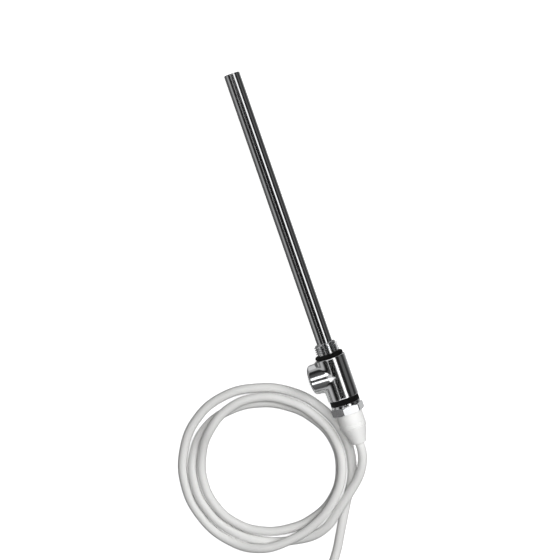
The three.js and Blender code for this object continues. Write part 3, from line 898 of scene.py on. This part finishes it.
class HEATER_OT_union(bpy.types.Operator):
    """Makes the union plug: a chamfered hexagon with a flange, a thread and a spigot"""

    bl_idname = "heater.union"
    bl_label = "Union plug"

    def hexagon(self, across):
        start_clean()
        long = FLANGE_FOOT - HEX_FOOT + 0.3 * MM
        bpy.ops.mesh.primitive_cylinder_add(
            vertices=6, radius=across / math.sqrt(3), depth=long,
            location=(0, HEX_FOOT + long / 2, 0), rotation=(math.radians(-90), 0, 0),
        )
        hexagon = named("threaded_union")
        bpy.ops.object.transform_apply(location=True, rotation=True, scale=True)
        bpy.ops.object.mode_set(mode="EDIT")
        pick("edges", lambda _, edge: abs(edge.verts[0].co.y - edge.verts[1].co.y) > MM)
        bpy.ops.mesh.bevel(offset=0.75 * MM, segments=4, affect="EDGES")
        bpy.ops.object.mode_set(mode="OBJECT")
        flats = across / 2
        trim = turned("trim", [
            (0, HEX_FOOT),
            (flats + 0.35 * MM, HEX_FOOT),
            (flats + 2.9 * MM, HEX_FOOT + 1.35 * MM),
            (flats + 2.9 * MM, FLANGE_FOOT - 1.3 * MM),
            (flats + 0.2 * MM, FLANGE_FOOT + 0.1 * MM),
            (0, FLANGE_FOOT + 0.1 * MM),
        ], 96)
        combine(hexagon, trim, "INTERSECT")
        apply_modifier(
            hexagon, "BEVEL", width=0.25 * MM, segments=2, limit_method="ANGLE",
            angle_limit=math.radians(24),
        )
        return swing(hexagon, math.degrees(HEX_TURN), "Y")

    def execute(self, context):
        sizes = context.scene.heater_sizes
        flange = turned("flange", [
            (8 * MM, FLANGE_FOOT - 0.3 * MM),
            (12.5 * MM, FLANGE_FOOT - 0.3 * MM),
            (12.5 * MM, FLANGE_FOOT + 0.2 * MM),
            *bend(12.8 * MM, FLANGE_FOOT + 0.6 * MM, 0.4 * MM, -90, 0, 3),
            *bend(12.7 * MM, HEX_TOP - 0.5 * MM, 0.5 * MM, 0, 90, 4),
            (8 * MM, HEX_TOP),
            (8 * MM, FLANGE_FOOT - 0.3 * MM),
        ], 96)
        nose = turned("nose", [
            (ROD_CLEARANCE_R, HEX_TOP - MM),
            (THREAD_ROOT_R, HEX_TOP - MM),
            (THREAD_ROOT_R, NOSE_TOP - 0.6 * MM),
            (THREAD_ROOT_R - 0.6 * MM, NOSE_TOP),
            (ROD_CLEARANCE_R, NOSE_TOP),
            (ROD_CLEARANCE_R, HEX_TOP - MM),
        ], 96)
        depth = THREAD_R - THREAD_ROOT_R
        ridge = thread(
            "ridge", HEX_TOP, NOSE_TOP, THREAD_ROOT_R, depth, sizes.thread_pitch
        )
        spigot = turned("spigot", [
            (ROD_CLEARANCE_R, SPIGOT_FOOT),
            (SPIGOT_R, SPIGOT_FOOT),
            (SPIGOT_R, HEX_FOOT + 0.3 * MM),
            (ROD_CLEARANCE_R, HEX_FOOT + 0.3 * MM),
            (ROD_CLEARANCE_R, SPIGOT_FOOT),
        ], 64)
        union = welded(self.hexagon(sizes.across_flats), flange, nose, ridge, spigot)
        done(union, "element", look_of("chrome"), "chrome", "union_plug")
        return {"FINISHED"}


class HEATER_OT_head(bpy.types.Operator):
    """Makes the white head: the collar over the union's spigot and the tapered cord boot"""

    bl_idname = "heater.head"
    bl_label = "White head"

    def execute(self, context):
        r, fit, groove = 11.5 * MM, 10.3 * MM, 0.28 * MM
        collar = turned("head_collar", [
            (fit, COLLAR_FOOT),
            *bend(r - 0.25 * MM, COLLAR_FOOT + 0.25 * MM, 0.25 * MM, -90, 0, 3),
            (r, COLLAR_FOOT + 3.2 * MM),
            (r - groove, COLLAR_FOOT + 3.4 * MM),
            (r - groove, COLLAR_FOOT + 3.9 * MM),
            (r, COLLAR_FOOT + 4.1 * MM),
            *bend(r - 0.8 * MM, COLLAR_TOP - 0.8 * MM, 0.8 * MM, 0, 90, 6),
            (fit, COLLAR_TOP),
            (fit, COLLAR_FOOT),
        ], 96)
        done(collar, "element", look_of("white_plastic"), "white_plastic", "cap_collar")

        bore = 4.3 * MM
        boot = turned("cord_boot_cone", [
            (bore, BOOT_FOOT + 0.5 * MM),
            (bore + 0.4 * MM, BOOT_FOOT),
            *bend(6.0 * MM, BOOT_FOOT + 0.6 * MM, 0.6 * MM, -90, -10, 4),
            (7.0 * MM, BOOT_FOOT + 2.2 * MM),
            (9.6 * MM, BOOT_FOOT + 9.5 * MM),
            *bend(10.7 * MM, BOOT_TOP - 0.5 * MM, 0.5 * MM, -15, 90, 4),
            (10.2 * MM, BOOT_TOP),
            (10.2 * MM, -45 * MM),
            (9.3 * MM, -45 * MM),
            (9.3 * MM, BOOT_TOP - 2 * MM),
            (7.4 * MM, -56.5 * MM),
            (bore, -58.5 * MM),
            (bore, BOOT_FOOT + 0.5 * MM),
        ], 96)
        done(boot, "element", look_of("white_plastic"), "white_plastic", "cord_boot")
        return {"FINISHED"}


class HEATER_OT_plug(bpy.types.Operator):
    """Makes the earthed mains plug on the lead's far end, with its boot, pins and earth strips"""

    bl_idname = "heater.plug"
    bl_label = "Mains plug"

    def body(self):
        seam = 0.4 * MM
        body = turned("plug_shell", [
            (0, PLUG_BOOT_LENGTH),
            (8.6 * MM, PLUG_BOOT_LENGTH),
            *bend(8.6 * MM, PLUG_BOOT_LENGTH + 0.8 * MM, 0.8 * MM, -90, -20, 3),
            (14 * MM, PLUG_BOOT_LENGTH + 5 * MM),
            (16.6 * MM, PLUG_BOOT_LENGTH + 10 * MM),
            (17.7 * MM, PLUG_BOOT_LENGTH + 14 * MM),
            (PLUG_R, PLUG_BOOT_LENGTH + 17.5 * MM),
            (PLUG_R, PLUG_BOOT_LENGTH + 18 * MM),
            (PLUG_R - seam, PLUG_BOOT_LENGTH + 18.3 * MM),
            (PLUG_R - seam, PLUG_BOOT_LENGTH + 18.9 * MM),
            (PLUG_R, PLUG_BOOT_LENGTH + 19.2 * MM),
            *bend(PLUG_R - MM, PLUG_FACE - MM, MM, 0, 90, 5),
            (0, PLUG_FACE),
        ], 96)
        for side in (-1, 1):
            recess = self.block(
                "recess", (4 * MM, 17 * MM, 9 * MM),
                (side * (EARTH_X + 2 * MM), PLUG_FACE - 7.5 * MM, 0), 0.8 * MM,
            )
            combine(body, recess, "DIFFERENCE")
            for groove in range(4):
                grip = self.block(
                    "grip", GRIP_GROOVE,
                    (side * (16.8 - 0.55 * (3 - groove)) * MM,
                     PLUG_BOOT_LENGTH + (6.5 + 2.6 * groove) * MM, 0), 0.5 * MM,
                )
                swing(grip, 90, "Y")
                combine(body, grip, "DIFFERENCE")
        for side in (-1, 1):
            well = turned("well", [
                (0, PLUG_FACE - PIN_WELL),
                (2.5 * MM, PLUG_FACE - PIN_WELL),
                (2.5 * MM, PLUG_FACE - 0.4 * MM),
                (2.9 * MM, PLUG_FACE + MM),
                (0, PLUG_FACE + MM),
            ], 32)
            hold(well).location.z = side * PIN_GAP / 2
            bpy.ops.object.transform_apply(location=True, rotation=True, scale=True)
            combine(body, well, "DIFFERENCE")
        return body

    def block(self, name, size, place, rounding):
        start_clean()
        bpy.ops.mesh.primitive_cube_add(size=1, location=place, scale=size)
        block = named(name)
        bpy.ops.object.transform_apply(location=True, rotation=True, scale=True)
        return apply_modifier(block, "BEVEL", width=rounding, segments=2)

    def boot(self):
        rings = []
        foot, top = 4.9 * MM, 7.0 * MM
        for k in range(5):
            y = (1.5 + 4.4 * k) * MM
            rib = foot + (top - foot) * y / PLUG_BOOT_LENGTH
            rings += [
                (rib, y), (rib, y + 2.4 * MM), (rib - 0.9 * MM, y + 2.7 * MM),
                (rib - 0.9 * MM, y + 4.1 * MM),
            ]
        return turned("plug_strain_relief", [
            (0, 0.2 * MM), (foot - 0.4 * MM, 0.2 * MM), (foot, 0.6 * MM), *rings,
            (top, PLUG_BOOT_LENGTH - 0.1 * MM), (0, PLUG_BOOT_LENGTH - 0.1 * MM),
        ], 64)

    def pin(self, name, side):
        r, tip = 2.4 * MM, PLUG_FACE + 19 * MM
        pin = turned(name, [
            (0, PLUG_FACE - 11.9 * MM),
            (r, PLUG_FACE - 11.9 * MM),
            (r, tip - 2 * MM),
            (r - 0.15 * MM, tip - 1.2 * MM),
            (r - 0.6 * MM, tip - 0.5 * MM),
            (r - 1.3 * MM, tip - 0.1 * MM),
            (0, tip),
        ], 48)
        hold(pin).location.z = side * PIN_GAP / 2
        bpy.ops.object.transform_apply(location=True, rotation=True, scale=True)
        return pin

    def strip(self, name, side):
        strip = self.block(
            name, EARTH_STRIP,
            (side * (EARTH_X + 0.5 * MM), PLUG_FACE - 8.5 * MM, 0), 0.25 * MM,
        )
        bpy.ops.object.mode_set(mode="EDIT")
        bpy.ops.mesh.bisect(
            plane_co=(0, PLUG_FACE - 4 * MM, 0), plane_no=(0, 1, 0), use_fill=False
        )
        pick("verts", lambda co, _: co.y > PLUG_FACE - 3.9 * MM)
        bpy.ops.transform.translate(value=(-side * 0.25 * MM, 0, 0))
        bpy.ops.object.mode_set(mode="OBJECT")
        return strip

    def execute(self, context):
        low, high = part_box("plug_boot")
        start = Vector((high.x, (low.y + high.y) / 2, (low.z + high.z) / 2))
        place = Matrix.Translation(start) @ Matrix.Rotation(math.radians(90), 4, "Z")
        white = look_of("white_plastic"), "white_plastic"
        pieces = [
            done(self.body(), "element", *white, "plug_body", place=place),
            done(self.boot(), "element", *white, "plug_boot", place=place),
        ]
        for name, side in (("live", -1), ("neutral", 1)):
            pin = self.pin(f"{name}_plug_pin", side)
            pieces.append(done(
                pin, "element", look_of("tinned_metal"), "tinned_metal",
                f"plug_pin_{name}", place=place,
            ))
        for name, side in (("left", -1), ("right", 1)):
            strip = self.strip(f"earth_strip_{name}", side)
            pieces.append(done(
                strip, "element", look_of("brass"), "brass", f"plug_earth_{name}", place=place,
            ))
        return {"FINISHED"}


class HEATER_OT_inner_parts(bpy.types.Operator):
    """Gives the parts inside the rod and the head their finishes"""

    bl_idname = "heater.inner_parts"
    bl_label = "Inner parts"

    def execute(self, context):
        for material in frame["record"]["materials"]:
            for name in material.get("nodes", []):
                node = frame["nodes"][name]
                if node.hide_render:
                    continue
                look = look_of(material["slot"])
                if not node.material_slots:
                    node.data.materials.append(look)
                for used in node.material_slots:
                    used.material = look
        return {"FINISHED"}


OPERATORS = (
    STAGE_OT_studio,
    HEATER_OT_lead,
    HEATER_OT_rod,
    HEATER_OT_tee,
    HEATER_OT_seals,
    HEATER_OT_union,
    HEATER_OT_head,
    HEATER_OT_plug,
    HEATER_OT_inner_parts,
)


class HEATER_PT_panel(bpy.types.Panel):
    """Lists the heater's pieces and settings"""

    bl_idname = "HEATER_PT_panel"
    bl_label = "Heating element"
    bl_space_type = "VIEW_3D"
    bl_region_type = "UI"
    bl_category = "Heater"

    def draw(self, context):
        scene = context.scene
        for operator in OPERATORS:
            self.layout.operator(operator.bl_idname)
        for group in (scene.heater_sizes, scene.heater_finishes, scene.stage_settings):
            box = self.layout.box()
            for name in group.__annotations__:
                box.prop(group, name)


SETTINGS = {
    "heater_sizes": HeaterSizes,
    "heater_finishes": HeaterFinishes,
    "stage_settings": StageSettings,
}
CLASSES = (*SETTINGS.values(), *OPERATORS, HEATER_PT_panel)


def register():
    for cls in CLASSES:
        bpy.utils.register_class(cls)
    for name, group in SETTINGS.items():
        setattr(bpy.types.Scene, name, bpy.props.PointerProperty(type=group))


def unregister():
    for name in SETTINGS:
        delattr(bpy.types.Scene, name)
    for cls in reversed(CLASSES):
        bpy.utils.unregister_class(cls)


def main():
    register()
    for operator in OPERATORS:
        group, name = operator.bl_idname.split(".")
        getattr(getattr(bpy.ops, group), name)()


if __name__ == "__main__":
    main()
